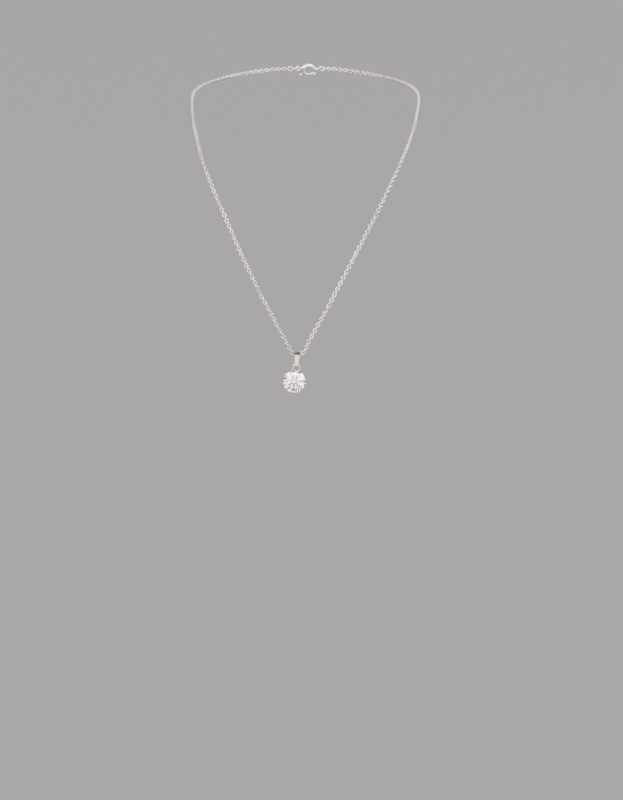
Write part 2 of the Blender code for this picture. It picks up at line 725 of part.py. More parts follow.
catch_ring_pivot = add_pivot("catch_ring_pivot", clasp_line, root)
bpy.context.view_layer.update()

build_chain(root, front)
build_end_links(root)
build_bail(bail_pivot)
split_ring("jump_ring", RING_RADIUS, RING_WIRE, RING_SEAM_AT, ring_pivot, (0, 0, 0))
head_place = Vector((0, -HOOK_DEPTH, -HOOK_RADIUS))
stone = build_stone(head_pivot, head_place)
build_setting(head_pivot, head_place, stone)
build_clasp(clasp_frame, lever_pivot)
for name, radius, wire, pivot in (
    ("clasp_ring", CLASP_RING_RADIUS, CLASP_RING_WIRE, clasp_ring_pivot),
    ("catch_ring", CATCH_RING_RADIUS, CATCH_RING_WIRE, catch_ring_pivot),
):
    split_ring(name, radius, wire, NAPE_SEAM_AT, pivot, (nape[name], 0, 0), flat=True)
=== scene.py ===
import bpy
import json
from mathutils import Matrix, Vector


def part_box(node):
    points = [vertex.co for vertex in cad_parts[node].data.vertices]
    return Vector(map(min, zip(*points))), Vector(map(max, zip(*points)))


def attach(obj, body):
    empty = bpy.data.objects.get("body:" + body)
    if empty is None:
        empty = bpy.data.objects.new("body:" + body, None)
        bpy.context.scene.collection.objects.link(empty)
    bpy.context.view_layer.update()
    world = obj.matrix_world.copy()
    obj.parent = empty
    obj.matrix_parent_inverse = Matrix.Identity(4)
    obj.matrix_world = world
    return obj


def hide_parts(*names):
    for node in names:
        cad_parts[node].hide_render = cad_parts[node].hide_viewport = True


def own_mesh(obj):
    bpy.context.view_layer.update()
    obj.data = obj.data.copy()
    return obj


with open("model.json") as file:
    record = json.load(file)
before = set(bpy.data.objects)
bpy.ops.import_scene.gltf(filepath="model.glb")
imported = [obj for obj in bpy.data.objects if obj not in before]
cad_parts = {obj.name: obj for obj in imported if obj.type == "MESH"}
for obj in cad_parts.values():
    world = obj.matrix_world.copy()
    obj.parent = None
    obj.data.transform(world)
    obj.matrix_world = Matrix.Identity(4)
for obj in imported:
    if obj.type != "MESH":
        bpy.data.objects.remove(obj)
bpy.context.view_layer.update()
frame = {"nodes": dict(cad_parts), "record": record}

import json
import math
import random

import bmesh
import bpy
from mathutils import Euler, Matrix, Vector

mm = 0.001
toMetres = Matrix.Scale(mm, 4)
joints = {joint["name"]: joint for joint in frame["record"]["behaviour"]["joints"]}
print("frame loaded:", len(frame["nodes"]), "nodes")


# colours, nodes, modifiers and pieces

def hexToLinear(code):
    channels = [int(code[i:i + 2], 16) / 255 for i in (1, 3, 5)]
    return [c / 12.92 if c <= 0.04045 else ((c + 0.055) / 1.055) ** 2.4 for c in channels] + [1.0]


def addNode(tree, kind, settings, links=None):
    node = tree.nodes.new(kind)
    for name, value in settings.items():
        if isinstance(name, int) or name in node.inputs:
            node.inputs[name].default_value = value
        else:
            setattr(node, name, value)
    for name, source in (links or {}).items():
        tree.links.new(source, node.inputs[name])
    return node


def newMaterial(name):
    material = bpy.data.materials.new(name)
    material.use_nodes = True
    material.node_tree.nodes.clear()
    return material, material.node_tree


def meshFrom(bm, name):
    bmesh.ops.recalc_face_normals(bm, faces=bm.faces)
    mesh = bpy.data.meshes.new(name)
    bm.to_mesh(mesh)
    bm.free()
    return mesh


def spareObject(mesh):
    spare = bpy.data.objects.new("spare", mesh)
    bpy.context.scene.collection.objects.link(spare)
    return spare


def applyModifiers(mesh, steps):  # a new mesh, after these modifiers in turn
    spare = spareObject(mesh)
    for kind, settings in steps:
        modifier = spare.modifiers.new(kind, kind)
        for name, value in settings.items():
            setattr(modifier, name, value)
    bpy.context.view_layer.update()
    graph = bpy.context.evaluated_depsgraph_get()
    result = bpy.data.meshes.new_from_object(spare.evaluated_get(graph))
    bpy.data.objects.remove(spare)
    return result


def cutBy(mesh, tools):  # the mesh less each tool
    spares = [spareObject(tool) for tool in tools]
    result = applyModifiers(mesh, [("BOOLEAN", {"operation": "DIFFERENCE", "object": s}) for s in spares])
    for spare in spares:
        bpy.data.objects.remove(spare)
    return result


def castSmooth(mesh, voxel, rounds):  # melts crossing shapes into one, with soft inside corners
    return applyModifiers(mesh, [
        ("REMESH", {"mode": "VOXEL", "voxel_size": voxel}),
        ("SMOOTH", {"factor": 0.5, "iterations": rounds}),
    ])


def addPiece(name, mesh, place, body, material, replaced, sharpAngle=40):
    mesh.transform(place)
    mesh.name = name
    mesh.materials.clear()
    mesh.materials.append(material)
    mesh.shade_smooth()
    mesh.set_sharp_from_angle(angle=math.radians(sharpAngle))
    piece = bpy.data.objects.new(name, mesh)
    bpy.context.scene.collection.objects.link(piece)
    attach(piece, body)
    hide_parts(*replaced)
    return piece


def smoothLine(points, count):  # evenly spread places on a smooth curve through the points
    route = makeRoute(points)
    return [placeAt(route, route["reach"][-1] * i / (count - 1)) for i in range(count)]


def rhodiumPlate(name, look):
    # Rhodium over polished brass: near white, mirror bright, with fine rub marks and random patches of
    # dull film, and with painted shade that darkens the colour in corners and where parts meet.
    material, tree = newMaterial(name)
    coords = addNode(tree, "ShaderNodeTexCoord", {}).outputs["Object"]
    clouds = addNode(
        tree, "ShaderNodeTexNoise", {"Scale": 1 / look["filmSize"], "Detail": 3.0}, {"Vector": coords},
    )
    rubs = addNode(
        tree, "ShaderNodeTexNoise", {"Scale": 1 / look["rubSize"], "Detail": 4.0, "Roughness": 0.7},
        {"Vector": coords},
    )
    # painted shade: the colour darkens in corners and where parts meet
    occlusion = addNode(tree, "ShaderNodeAmbientOcclusion", {"samples": 6, "Distance": look["shadeReach"]})
    dullAndShade = addNode(
        tree, "ShaderNodeMapRange", {"From Min": 0.35, "From Max": 0.95, "To Min": 1.0, "To Max": 0.0},
        {"Value": occlusion.outputs["AO"]},
    )
    patchy = addNode(
        tree, "ShaderNodeMapRange", {"From Min": 0.3, "From Max": 0.7, "To Min": 0.0, "To Max": 0.35},
        {"Value": clouds.outputs["Fac"]},
    )
    # the painted shade in corners, weighted, plus random patches of dull film
    cornerShadeAndFilm = addNode(
        tree, "ShaderNodeMath", {"operation": "MULTIPLY_ADD", "use_clamp": True, 1: look["cornerShadeStrength"]},
        {0: dullAndShade.outputs["Result"], 2: patchy.outputs["Result"]},
    )
    filmAndShade = cornerShadeAndFilm.outputs[0]
    if "linkFilm" in look:  # some links are duller than others
        link = addNode(tree, "ShaderNodeAttribute", {"attribute_name": "linkTone"})
        filmAndShade = addNode(
            tree, "ShaderNodeMath", {"operation": "MULTIPLY_ADD", "use_clamp": True, 1: look["linkFilm"]},
            {0: link.outputs["Fac"], 2: filmAndShade},
        ).outputs[0]
    color = addNode(
        tree, "ShaderNodeMix",
        {"data_type": "RGBA", 6: hexToLinear(look["bright"]), 7: hexToLinear(look["dullAndShade"])}, {0: filmAndShade},
    )
    rough = addNode(
        tree, "ShaderNodeMapRange",
        {"From Min": 0.25, "From Max": 0.8, "To Min": look["smooth"], "To Max": look["rough"]},
        {"Value": rubs.outputs["Fac"]},
    )
    tint, roughness = color.outputs[2], rough.outputs["Result"]
    if "worn" in look:
        tint, roughness = wornThrough(tree, coords, tint, roughness, look)
    bump = addNode(
        tree, "ShaderNodeBump", {"Strength": look["rubDepth"], "Distance": 0.01 * mm},
        {"Height": rubs.outputs["Fac"]},
    )
    shader = addNode(
        tree, "ShaderNodeBsdfPrincipled", {"Metallic": 1.0},
        {"Base Color": tint, "Roughness": roughness, "Normal": bump.outputs["Normal"]},
    )
    addNode(tree, "ShaderNodeOutputMaterial", {}, {"Surface": shader.outputs["BSDF"]})
    return material


def wornThrough(tree, coords, tint, roughness, look):
    # above a height the band turns a dark reddish brown, with a ragged edge, and is rougher there
    ragged = addNode(
        tree, "ShaderNodeTexNoise", {"Scale": 1 / look["wornEdge"], "Detail": 3.0}, {"Vector": coords},
    )
    split = addNode(tree, "ShaderNodeSeparateXYZ", {}, {"Vector": coords})
    shifted = addNode(
        tree, "ShaderNodeMath", {"operation": "MULTIPLY_ADD", 1: look["wornFade"]},
        {0: ragged.outputs["Fac"], 2: split.outputs["Z"]},
    )
    above = addNode(
        tree, "ShaderNodeMapRange",
        {
            "From Min": look["wornFrom"], "From Max": look["wornFrom"] + look["wornFade"],
            "To Max": look["wornMost"],
        },
        {"Value": shifted.outputs[0]},
    )
    mixed = addNode(
        tree, "ShaderNodeMix", {"data_type": "RGBA", 7: hexToLinear(look["worn"])},
        {0: above.outputs["Result"], 6: tint},
    )
    rougherAtTop = addNode(
        tree, "ShaderNodeMath", {"operation": "MULTIPLY_ADD", 1: look["wornRough"]},
        {0: above.outputs["Result"], 2: roughness},
    )
    return mixed.outputs[2], rougherAtTop.outputs[0]


plateLook = {  # real rub marks are about 0.02 mm wide, and are drawn coarser so that they show
    # the dull colour is both random patches of dull film and painted shade in corners and where parts meet
    "bright": "#eeece9", "dullAndShade": "#8f8a83",
    "filmSize": 1.6 * mm, "rubSize": 0.12 * mm, "rubDepth": 0.25,
    # how far the painted shade in corners reaches, and how strongly it darkens the colour
    "shadeReach": 0.35 * mm, "cornerShadeStrength": 0.75,
    "smooth": 0.08, "rough": 0.22,
}
steelLook = {"color": "#a9a8a6", "lineSize": 0.06 * mm, "smooth": 0.2, "rough": 0.42}
stoneLook = {"color": "#f3ebe9", "ior": 2.16, "hazeSize": 2.5 * mm, "hazeRough": 0.05}


def springSteel(name, look):
    # Drawn spring wire and a peened rivet: greyer than the plate, with fine draw lines, which are
    # drawn about three times too coarse so that they show.
    material, tree = newMaterial(name)
    coords = addNode(tree, "ShaderNodeTexCoord", {}).outputs["Object"]
    lines = addNode(
        tree, "ShaderNodeTexNoise", {"Scale": 1 / look["lineSize"], "Detail": 2.0}, {"Vector": coords},
    )
    rough = addNode(
        tree, "ShaderNodeMapRange", {"To Min": look["smooth"], "To Max": look["rough"]},
        {"Value": lines.outputs["Fac"]},
    )
    shader = addNode(
        tree, "ShaderNodeBsdfPrincipled", {"Metallic": 1.0, "Base Color": hexToLinear(look["color"])},
        {"Roughness": rough.outputs["Result"]},
    )
    addNode(tree, "ShaderNodeOutputMaterial", {}, {"Surface": shader.outputs["BSDF"]})
    return material


def cubicZirconia(name, look):
    # Cubic zirconia, cut and polished: almost colourless, far more refractive than glass, with a
    # trace of haze where it has been handled.
    material, tree = newMaterial(name)
    coords = addNode(tree, "ShaderNodeTexCoord", {}).outputs["Object"]
    haze = addNode(
        tree, "ShaderNodeTexNoise", {"Scale": 1 / look["hazeSize"], "Detail": 4.0}, {"Vector": coords},
    )
    rough = addNode(
        tree, "ShaderNodeMapRange",
        {"From Min": 0.45, "From Max": 0.75, "To Min": 0.0, "To Max": look["hazeRough"]},
        {"Value": haze.outputs["Fac"]},
    )
    shader = addNode(
        tree, "ShaderNodeBsdfPrincipled",
        {"Base Color": hexToLinear(look["color"]), "Transmission Weight": 1.0, "IOR": look["ior"]},
        {"Roughness": rough.outputs["Result"]},
    )
    addNode(tree, "ShaderNodeOutputMaterial", {}, {"Surface": shader.outputs["BSDF"]})
    return material


rhodium = rhodiumPlate("rhodiumPlatedBrass", plateLook)
linkPlate = rhodiumPlate("rhodiumPlatedBrassWire", dict(plateLook, linkFilm=0.25))
steel = springSteel("drawnSpringSteel", steelLook)
zirconia = cubicZirconia("polishedCubicZirconia", stoneLook)
print("materials made")


# the chain's route, in millimetres: round the neck, then down and up the chest
chainRoute = {
    "neck": (
        (-15.5, 41.9, 9.9), (-25.1, 37.6, 8.9), (-35.6, 30.6, 7.3), (-43.6, 21.5, 5.3), (-48.6, 11.0, 3.1),
    ),
    "shoulder": (-50.2, 0.0, 0.0),
    "frontLeft": (
        (-49.8, -9.0, -4.7), (-48.3, -20.0, -11.6), (-44.9, -33.0, -22.9), (-40.6, -42.0, -33.1),
        (-32.8, -51.5, -49.6), (-23.0, -60.0, -70.2), (-13.2, -65.0, -88.6), (-7.3, -67.3, -99.2),
        (-5.4, -67.8, -102.4),
    ),
    "frontRight": (
        (-1.9, -67.8, -102.5), (1.6, -66.8, -96.6), (8.3, -64.2, -85.0), (16.9, -59.7, -69.3),
        (26.7, -52.5, -51.7), (35.5, -43.0, -35.4), (42.6, -32.0, -21.8), (46.9, -21.0, -12.3),
        (49.4, -8.5, -4.4),
    ),
}


def slopeAt(points, i):  # the direction of travel at a point, weighted to its nearer neighbour
    if i == 0 or i == len(points) - 1:
        a, b = (0, 1) if i == 0 else (-2, -1)
        return (points[b] - points[a]).normalized()
    back, ahead = points[i] - points[i - 1], points[i + 1] - points[i]
    near, far = back.length, ahead.length
    return (back * far / near + ahead * near / far) / (near + far)


def makeRoute(points, spanSteps=24):
    slopes = [slopeAt(points, i) for i in range(len(points))]
    places = [points[0]]
    for i in range(len(points) - 1):
        chord = (points[i + 1] - points[i]).length
        for step in range(1, spanSteps + 1):
            t = step / spanSteps
            places.append(
                points[i] * (2 * t**3 - 3 * t**2 + 1) + slopes[i] * chord * (t**3 - 2 * t**2 + t)
                + points[i + 1] * (3 * t**2 - 2 * t**3) + slopes[i + 1] * chord * (t**3 - t**2)
            )
    reach = [0.0]
    for before, after in zip(places, places[1:]):
        reach.append(reach[-1] + (after - before).length)
    return {"places": places, "reach": reach, "marks": reach[::spanSteps]}


def placeAt(route, distance):  # runs on straight past either end
    i = 0
    while i < len(route["reach"]) - 2 and route["reach"][i + 1] < distance:
        i += 1
    share = (distance - route["reach"][i]) / (route["reach"][i + 1] - route["reach"][i])
    return route["places"][i].lerp(route["places"][i + 1], share)


chain = {
    "wire": 0.45, "pitch": 1.34, "width": 1.75, "play": 0.12,
    "bendSteps": 12, "wireSides": 6,  # a few dozen faces a link
    "shoulderSlack": 0.03,  # between the two links at each shoulder
    # how far along each side the chain turns a quarter about itself, and over what share of its length
    "neckTurns": (0.35, 0.62), "leftTurns": (0.14, 0.47, 0.77), "rightTurns": (0.155, 0.35, 0.84),
    "turnShare": 0.1,
    "wobble": math.radians(7), "seed": 11,
}
endLink = {"wire": 0.5, "length": 3.0, "width": 2.1, "bendSteps": 24, "wireSides": 12}
bailPivot = Vector(joints["bail_swing"]["pos_m"]) / mm
napeLow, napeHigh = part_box("nape_link_left")
napeStart = (napeLow + napeHigh) / 2 / mm


def linkMesh(length, width, wire, steps, sides):  # an oval of round wire, long along X, flat in XY
    bm = bmesh.new()
    bend = (width - wire) / 2
    halfStep = Matrix.Rotation(math.pi / steps, 4, "Z")
    start = halfStep @ Matrix.Translation((bend, 0, 0)) @ Matrix.Rotation(math.pi / 2, 4, "X")
    bmesh.ops.create_circle(bm, segments=sides, radius=wire / 2, matrix=start)
    bmesh.ops.spin(
        bm, geom=bm.verts[:] + bm.edges[:], axis=(0, 0, 1), cent=(0, 0, 0), angle=math.tau, steps=steps,
        use_merge=True,
    )
    for vert in bm.verts:
        vert.co.x += math.copysign((length - width) / 2, vert.co.x)
    return meshFrom(bm, "link")


def linkFrame(route, distance):  # the link's middle, with X along the chain and Y away from the neck
    before = placeAt(route, distance - chain["pitch"] / 2)
    after = placeAt(route, distance + chain["pitch"] / 2)
    along = (after - before).normalized()
    place = (before + after) / 2
    outwards = Vector((place.x, place.y, 0))
    outwards = (outwards - along * outwards.dot(along)).normalized()
    turn = Matrix((along, outwards, along.cross(outwards))).transposed()
    return Matrix.Translation(place) @ turn.to_4x4()


def linkStations(route, leftShoulder, bottom, rightShoulder):
    linkEnd = (chain["pitch"] + chain["wire"] + chain["play"]) / 2
    hold = chain["wire"] + chain["shoulderSlack"]
    neckLength = leftShoulder - linkEnd
    neckCount = 2 * round(neckLength / chain["pitch"] / 2)
    neckLeft = [i * neckLength / neckCount for i in range(neckCount + 1)]
    neckRight = [route["reach"][-1] - s for s in reversed(neckLeft)]
    start, end = leftShoulder + linkEnd - hold, rightShoulder - linkEnd + hold
    leftCount = 2 * round((bottom - start) / chain["pitch"] / 2)
    rightCount = 2 * round((end - bottom) / chain["pitch"] / 2)
    frontLeft = [start + i * (bottom - start) / leftCount for i in range(leftCount + 1)]
    frontRight = [bottom + i * (end - bottom) / rightCount for i in range(1, rightCount + 1)]
    return neckLeft, frontLeft, frontRight, neckRight


def smoothStep(share):
    t = min(1.0, max(0.0, share))
    return t * t * (3 - 2 * t)


def twists(frames, turns, liesOn):
    # How far each link turns from its frame. Chain that hangs on the chest lies flat to it; chain
    # round the neck lies flat to the neck. Both ends finish square to their frames.
    found = []
    for i, place in enumerate(frames):
        share = i / (len(frames) - 1)
        across = place.to_3x3().inverted() @ liesOn if liesOn else Vector((0, 1, 0))
        twist = math.atan2(across.z, across.y)
        turned = sum(smoothStep((share - t) / chain["turnShare"] + 0.5) for t in turns)
        found.append(twist + math.pi / 2 * turned)
    quarters = math.pi / 2 * round(found[-1] / (math.pi / 2))
    found = [twist - quarters for twist in found]
    for end in (0, -1):
        error = found[end] - math.pi * round(found[end] / math.pi)
        for i in range(len(found)):
            share = i / (len(frames) - 1)
            found[i] -= error * smoothStep(4 * (share if end else 1 - share) - 3)
    return found


def addLinks(name, route, stations, firstTurned, turns, liesOn, body, replaced):
    # Each link is a quarter turn from the last. A side also turns slowly on itself, as a worn chain
    # does, and each link sits a little out of true.
    frames = [linkFrame(route, distance) for distance in stations]
    sideTwists = twists(frames, turns, liesOn)
    bm = bmesh.new()
    tone = bm.verts.layers.float.new("linkTone")
    for i, place in enumerate(frames):
        loose = math.sin(math.pi * i / (len(stations) - 1))
        twist = sideTwists[i] + rng.uniform(-1, 1) * chain["wobble"] * loose
        if (i % 2 == 0) == firstTurned:
            twist += math.pi / 2
        first = len(bm.verts)
        bm.from_mesh(plainLink)
        bm.verts.ensure_lookup_table()
        link = bm.verts[first:]
        bmesh.ops.transform(bm, matrix=place @ Matrix.Rotation(twist, 4, "X"), verts=link)
        shade = rng.random()
        for vert in link:
            vert[tone] = shade
    mesh = meshFrom(bm, name)
    addPiece(name, mesh, toMetres, body, linkPlate, replaced, 180)


rng = random.Random(chain["seed"])
linkLength = chain["pitch"] + 2 * chain["wire"] + chain["play"]
plainLink = linkMesh(linkLength, chain["width"], chain["wire"], chain["bendSteps"], chain["wireSides"])

neck = [napeStart] + [Vector(p) for p in chainRoute["neck"] + (chainRoute["shoulder"],)]
front = [Vector(p) for p in chainRoute["frontLeft"]] + [bailPivot]
front += [Vector(p) for p in chainRoute["frontRight"]]
farSide = [Vector((-p.x, p.y, p.z)) for p in reversed(neck)]
route = makeRoute(neck + front + farSide)
marks = route["marks"]
shoulderLeft = marks[len(neck) - 1]
bottom = marks[len(neck) + len(chainRoute["frontLeft"])]
shoulderRight = marks[len(neck) + len(front)]
neckLeft, frontLeft, frontRight, neckRight = linkStations(route, shoulderLeft, bottom, shoulderRight)
forwards = Vector((0, -1, 0))


def runNodes(side, part, count):
    return [f"{part}_run_{side}_{i}" for i in range(1, count + 1)]


addLinks("neckChainLeft", route, neckLeft, False, chain["neckTurns"], None, "neck_chain",
         ["nape_link_left", "neck_link_left"] + runNodes("left", "neck", 4))
addLinks("frontChainLeft", route, frontLeft, True, chain["leftTurns"], forwards, "front_chain",
         ["front_link_left", "bail_link_1", "bail_link_2", "bail_link_3"] + runNodes("left", "front", 5))
addLinks("frontChainRight", route, frontRight, False, chain["rightTurns"], forwards, "front_chain",
         ["front_link_right", "bail_link_4", "bail_link_5"] + runNodes("right", "front", 5))
addLinks("neckChainRight", route, neckRight, False, chain["neckTurns"], None, "neck_chain",
         ["nape_link_right", "neck_link_right"] + runNodes("right", "neck", 4))

for side in ("left", "right"):
    low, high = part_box(f"end_link_{side}")
    upright = Matrix.Translation((low + high) / 2) @ toMetres @ Matrix.Rotation(math.pi / 2, 4, "X")
    mesh = linkMesh(*(endLink[key] for key in ("length", "width", "wire", "bendSteps", "wireSides")))
    addPiece(f"endLink{side.title()}", mesh, upright, "neck_chain", rhodium,
             [f"end_link_{side}"])
print("chain made:", len(neckLeft + frontLeft + frontRight + neckRight), "links")


# a tapered band folded over the chain
bail = {
    "band": 0.35, "topInside": 1.4, "footInside": 0.45, "drop": 0.2, "reach": 3.5,
    "topWidth": 2.2, "footWidth": 1.2, "shoulderHeight": 0.6, "crown": 0.06,
    "rim": 0.07, "arcSteps": 96, "sideSteps": 17, "acrossSteps": 10,
}
ringPivot = Vector(joints["ring_swing"]["pos_m"]) / mm
headPivot = Vector(joints["head_swing"]["pos_m"]) / mm
bailLean = math.atan2(bailPivot.x - ringPivot.x, bailPivot.z - ringPivot.z)
bailPlace = toMetres @ Matrix.Translation(bailPivot) @ Matrix.Rotation(bailLean, 4, "Y")


def bailHalfWidth(height):
    foot = -bail["drop"] - bail["reach"] - bail["footInside"] - 2 * bail["band"]
    share = min(1.0, (height - foot) / (bail["shoulderHeight"] - foot))
    return (bail["footWidth"] + (bail["topWidth"] - bail["footWidth"]) * share) / 2


def makeBail():
    top, foot = bail["topInside"] + bail["band"], bail["footInside"] + bail["band"]
    tangent = math.asin((top - foot) / bail["reach"])
    bm = bmesh.new()
    bmesh.ops.create_circle(
        bm, segments=bail["arcSteps"], radius=top, matrix=Matrix.Rotation(math.pi / 2, 4, "Y"),
    )
    low = [v for v in bm.verts if v.co.z < -top * math.sin(tangent)]  # where the sides leave the bend
    bmesh.ops.scale(bm, vec=(1, foot / top, foot / top), verts=low)
    bmesh.ops.translate(bm, vec=(0, 0, -bail["reach"]), verts=low)
    sides = [e for e in bm.edges if e.calc_length() > bail["reach"] / 2]
    bmesh.ops.subdivide_edges(bm, edges=sides, cuts=bail["sideSteps"] - 1)
    bmesh.ops.translate(bm, vec=(-1, 0, -bail["drop"]), verts=bm.verts)
    rim = bm.edges[:]
    for step in range(bail["acrossSteps"]):
        moved = bmesh.ops.extrude_edge_only(bm, edges=rim)["geom"]
        verts = [g for g in moved if isinstance(g, bmesh.types.BMVert)]
        bmesh.ops.translate(bm, vec=(2 / bail["acrossSteps"], 0, 0), verts=verts)
        rim = [g for g in moved if isinstance(g, bmesh.types.BMEdge)]
    bmesh.ops.recalc_face_normals(bm, faces=bm.faces)
    bm.normal_update()
    for vert in bm.verts:  # its edges are rolled in a little, so the face is crowned
        outwards = Vector((0, vert.normal.y, vert.normal.z)).normalized()
        vert.co -= outwards * bail["crown"] * vert.co.x**2
    for vert in bm.verts:
        vert.co.x *= bailHalfWidth(vert.co.z)
    return applyModifiers(meshFrom(bm, "bail"), [
        ("SOLIDIFY", {"thickness": bail["band"] - bail["crown"], "offset": -1.0, "use_even_offset": True}),
        ("BEVEL", {
            "width": bail["rim"], "segments": 3, "limit_method": "ANGLE", "angle_limit": math.radians(50),
        }),
    ])


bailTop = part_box("bail")[1].z
# the band is dark reddish brown above a height near its top, with a ragged edge
bailLook = dict(
    plateLook, bright="#e9dfdc", worn="#3f2822", wornFrom=bailTop - 1.2 * mm, wornFade=0.9 * mm,
    wornEdge=0.45 * mm, wornMost=1.0, wornRough=0.2,
)
bailPlate = rhodiumPlate("wornRhodiumPlatedBrass", bailLook)
addPiece("bailBand", makeBail(), bailPlace, "bail", bailPlate, ["bail"])
print("bail made")


# rings bent from round wire
rings = {
    "pendant": {"radius": 1.6, "wire": 0.55, "seamAt": 20},
    "clasp": {"radius": 1.3, "wire": 0.56, "seamAt": 70},
    "catch": {"radius": 1.9, "wire": 0.66, "seamAt": 70},
}
ringSeam = math.radians(2.5)  # the cut where a ring was opened
ringSteps = {"round": 72, "wire": 16}


def wireRing(size):  # about the Z axis
    bm = bmesh.new()
    start = math.radians(size["seamAt"]) + ringSeam / 2
    place = Matrix.Rotation(start, 4, "Z") @ Matrix.Translation((size["radius"], 0, 0))
    place = place @ Matrix.Rotation(math.pi / 2, 4, "X")
    bmesh.ops.create_circle(
        bm, segments=ringSteps["wire"], radius=size["wire"] / 2, matrix=place, cap_ends=True
    )
    bmesh.ops.spin(
        bm, geom=bm.verts[:] + bm.edges[:] + bm.faces[:], axis=(0, 0, 1), cent=(0, 0, 0),
        angle=math.tau - ringSeam, steps=ringSteps["round"],
    )
    return meshFrom(bm, "ring")


ringPlace = Matrix.Translation(ringPivot * mm) @ toMetres
headLean = math.atan2(ringPivot.x - headPivot.x, ringPivot.z - headPivot.z)
# the ring faces forwards, and leans as the head does
faceOn = Matrix.Rotation(headLean, 4, "Y") @ Matrix.Rotation(math.pi / 2, 4, "X")
addPiece("pendantRing", wireRing(rings["pendant"]), ringPlace @ faceOn, "jump_ring", rhodium,
         ["jump_ring"])
for side in ("clasp", "catch"):
    low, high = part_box(f"{side}_ring")
    addPiece(f"{side}Ring", wireRing(rings[side]), Matrix.Translation((low + high) / 2) @ toMetres,
             f"{side}_ring", rhodium, [f"{side}_ring"])
print("rings made")


domeAngles = (20, 40, 60, 80)


def sweepWire(bm, path, radii, side, sides=16):
    # a round wire with domed ends; side is square to its path
    last = len(path) - 1
    tangents = [(path[min(i + 1, last)] - path[max(i - 1, 0)]).normalized() for i in range(last + 1)]
    steps = [(-1, 0, angle) for angle in reversed(domeAngles)] + [(0, i, 0) for i in range(last + 1)]
    steps += [(1, last, angle) for angle in domeAngles]
    frames = []
    for end, i, angle in steps:
        radius = radii[i] * math.cos(math.radians(angle))
        place = path[i] + tangents[i] * end * radii[i] * math.sin(math.radians(angle))
        other = tangents[i].cross(side).normalized()
        turn = Matrix((side * radius, other * radius, tangents[i])).transposed().to_4x4()
        frames.append(Matrix.Translation(place) @ turn)
    verts = bmesh.ops.create_circle(bm, segments=sides, radius=1, matrix=frames[0], cap_ends=True)["verts"]
    rim = list({e for v in verts for e in v.link_edges})
    for before, after in zip(frames, frames[1:]):
        moved = bmesh.ops.extrude_edge_only(bm, edges=rim)["geom"]
        verts = [g for g in moved if isinstance(g, bmesh.types.BMVert)]
        rim = [g for g in moved if isinstance(g, bmesh.types.BMEdge)]
        bmesh.ops.transform(bm, matrix=after @ before.inverted(), verts=verts)
    bmesh.ops.contextual_create(bm, geom=rim)


def addTorus(bm, radius, wire, place, steps=72, sides=16):  # about the Y axis of its place
    upright = place @ Matrix.Translation((radius, 0, 0))
    verts = bmesh.ops.create_circle(bm, segments=sides, radius=wire / 2, matrix=upright)["verts"]
    edges = list({e for v in verts for e in v.link_edges})
    axis = place.to_3x3() @ Vector((0, 1, 0))
    bmesh.ops.spin(
        bm, geom=verts + edges, axis=axis, cent=place.translation, angle=math.tau, steps=steps,
        use_merge=True,
    )


# a cast head of six claws, a gallery rail and a base ring
setting = {
    "prongs": 6, "prongRadius": 0.32, "baseWire": 0.8, "baseFiled": 0.15, "railWire": 0.5,
    # radius from the stone's axis, and depth behind its girdle; the first place is the base ring's
    "prongLine": ((2.1, 4.3), (3.5, 2.8), (4.45, 1.85), (4.76, 1.25), (4.85, 0.3), (4.86, -0.25),
                  (4.68, -0.62), (4.36, -0.83)),
    "railPoint": 1,  # the place of the rail, along that line
    "prongSwell": (1, 1, 1, 1, 1, 1, 1.1, 1.4),
    "prongSteps": 36, "railSteps": 96, "railSides": 20, "voxel": 0.055, "smoothing": 4,
    "seatScale": 1.004, "girdleBehindTable": 1.497,
}
stoneLow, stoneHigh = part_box("stone")
stoneCentre = (stoneLow + stoneHigh) / 2 / mm
stoneCentre.y = stoneLow.y / mm + setting["girdleBehindTable"]
headPlace = toMetres @ Matrix.Translation(stoneCentre) @ Matrix.Rotation(headLean, 4, "Y")


def makeSetting():
    line = [Vector((0, depth, radius)) for radius, depth in setting["prongLine"]]
    path = smoothLine(line, setting["prongSteps"])
    route = makeRoute(line)
    radii = []
    for i in range(setting["prongSteps"]):  # the claw swells towards its tip
        distance = route["reach"][-1] * i / (setting["prongSteps"] - 1)
        radii.append(setting["prongRadius"] * swellAt(setting["prongSwell"], route["marks"], distance))
    bm = bmesh.new()
    for i in range(setting["prongs"]):
        turn = Matrix.Rotation(i * math.tau / setting["prongs"], 3, "Y")
        sweepWire(bm, [turn @ p for p in path], radii, turn @ Vector((1, 0, 0)))
    for wire, (radius, depth) in (
        (setting["baseWire"], setting["prongLine"][0]),
        (setting["railWire"], setting["prongLine"][setting["railPoint"]]),
    ):
        place = Matrix.Translation((0, depth, 0))
        addTorus(bm, radius, wire, place, setting["railSteps"], setting["railSides"])
    cast = castSmooth(meshFrom(bm, "setting"), setting["voxel"], setting["smoothing"])
    back = setting["prongLine"][0][1] + setting["baseWire"] / 2 - setting["baseFiled"]
    filed = boxMesh((-4, back, -4), (4, back + 2, 4))  # all that lies behind the back
    return cutBy(cast, [stoneSeat(), filed])


def swellAt(shares, marks, distance):
    for i in range(len(marks) - 1):
        if distance <= marks[i + 1] or i == len(marks) - 2:
            part = min(1.0, (distance - marks[i]) / (marks[i + 1] - marks[i]))
            return shares[i] + (shares[i + 1] - shares[i]) * part


def boxMesh(low, high):
    bm = bmesh.new()
    size, middle = Vector(high) - Vector(low), (Vector(high) + Vector(low)) / 2
    bmesh.ops.create_cube(bm, size=1, matrix=Matrix.Translation(middle) @ Matrix.Diagonal((*size, 1)))
    return meshFrom(bm, "box")


